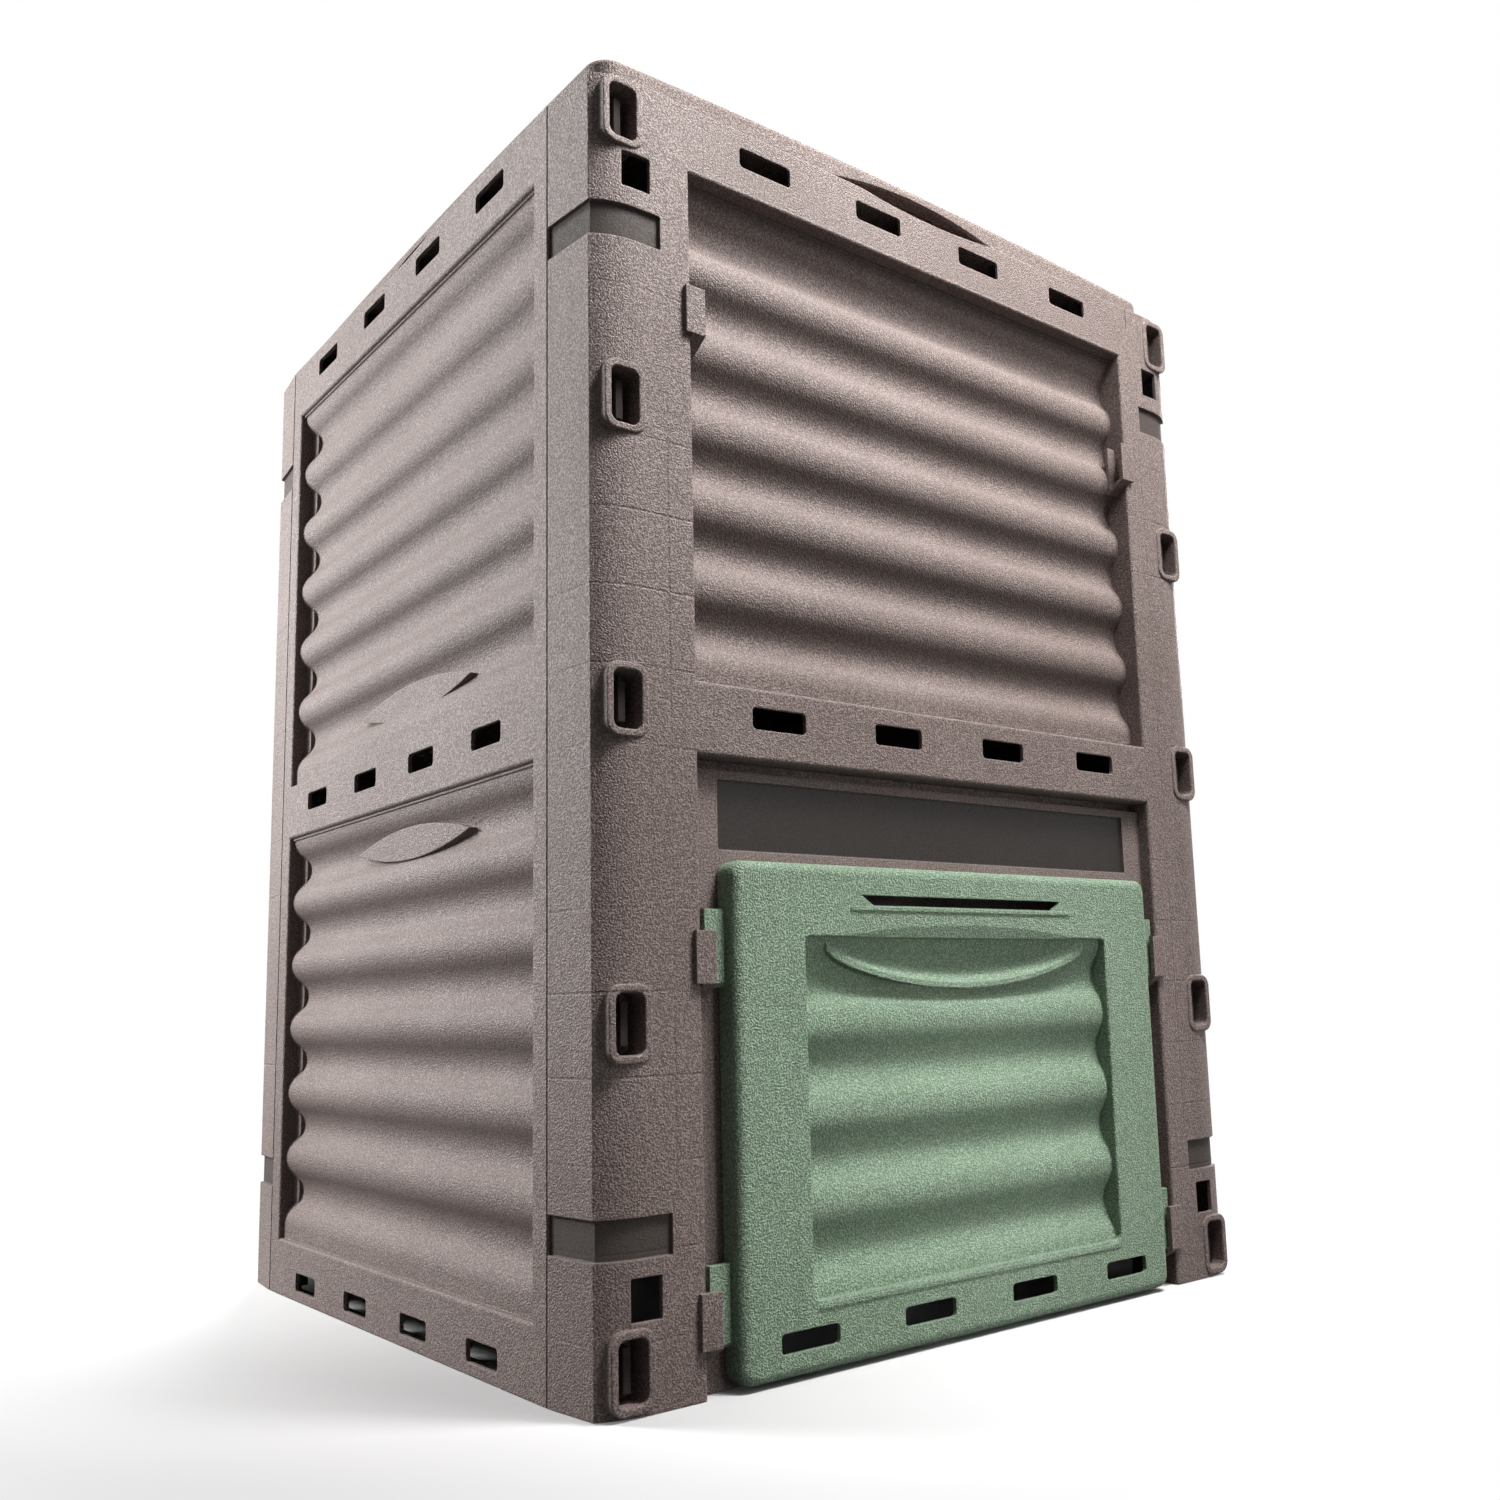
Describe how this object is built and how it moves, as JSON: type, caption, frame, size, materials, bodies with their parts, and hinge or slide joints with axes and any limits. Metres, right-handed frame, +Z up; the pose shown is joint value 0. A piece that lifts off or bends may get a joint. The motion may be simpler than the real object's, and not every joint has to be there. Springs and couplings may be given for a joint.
{
  "type": "garden composter",
  "caption": "Square snap-together plastic garden composter with corrugated vented panels, a lift-off crowned lid and a lift-out hatch door at the foot of the front.",
  "frame": {"origin": "on the ground under the middle of the whole outline, door included", "axes": "+Z up, -Y towards the front with the hatch door, +X to the right seen from the front"},
  "size_m": [0.61, 0.6202, 0.876],
  "materials": {
    "panels": "fine pebble grain, matte, warm grey-brown",
    "lid": "fine pebble grain, matte, warm grey-brown",
    "door": "fine pebble grain, satin, sage green"
  },
  "bodies": {
    "bin": {"front_panel": "panels", "back_panel": "panels", "left_panel": "panels", "right_panel": "panels"},
    "door": {"door": "door"},
    "lid": {"lid": "lid"}
  },
  "joints": [
    {"name": "door_lift", "type": "slide", "parent": "bin", "child": "door", "axis": [0, 0, 1], "range_m": [0, 0.036]},
    {"name": "lid_lift", "type": "slide", "parent": "bin", "child": "lid", "axis": [0, 0, 1], "range_m": [0, 0.2]}
  ]
}
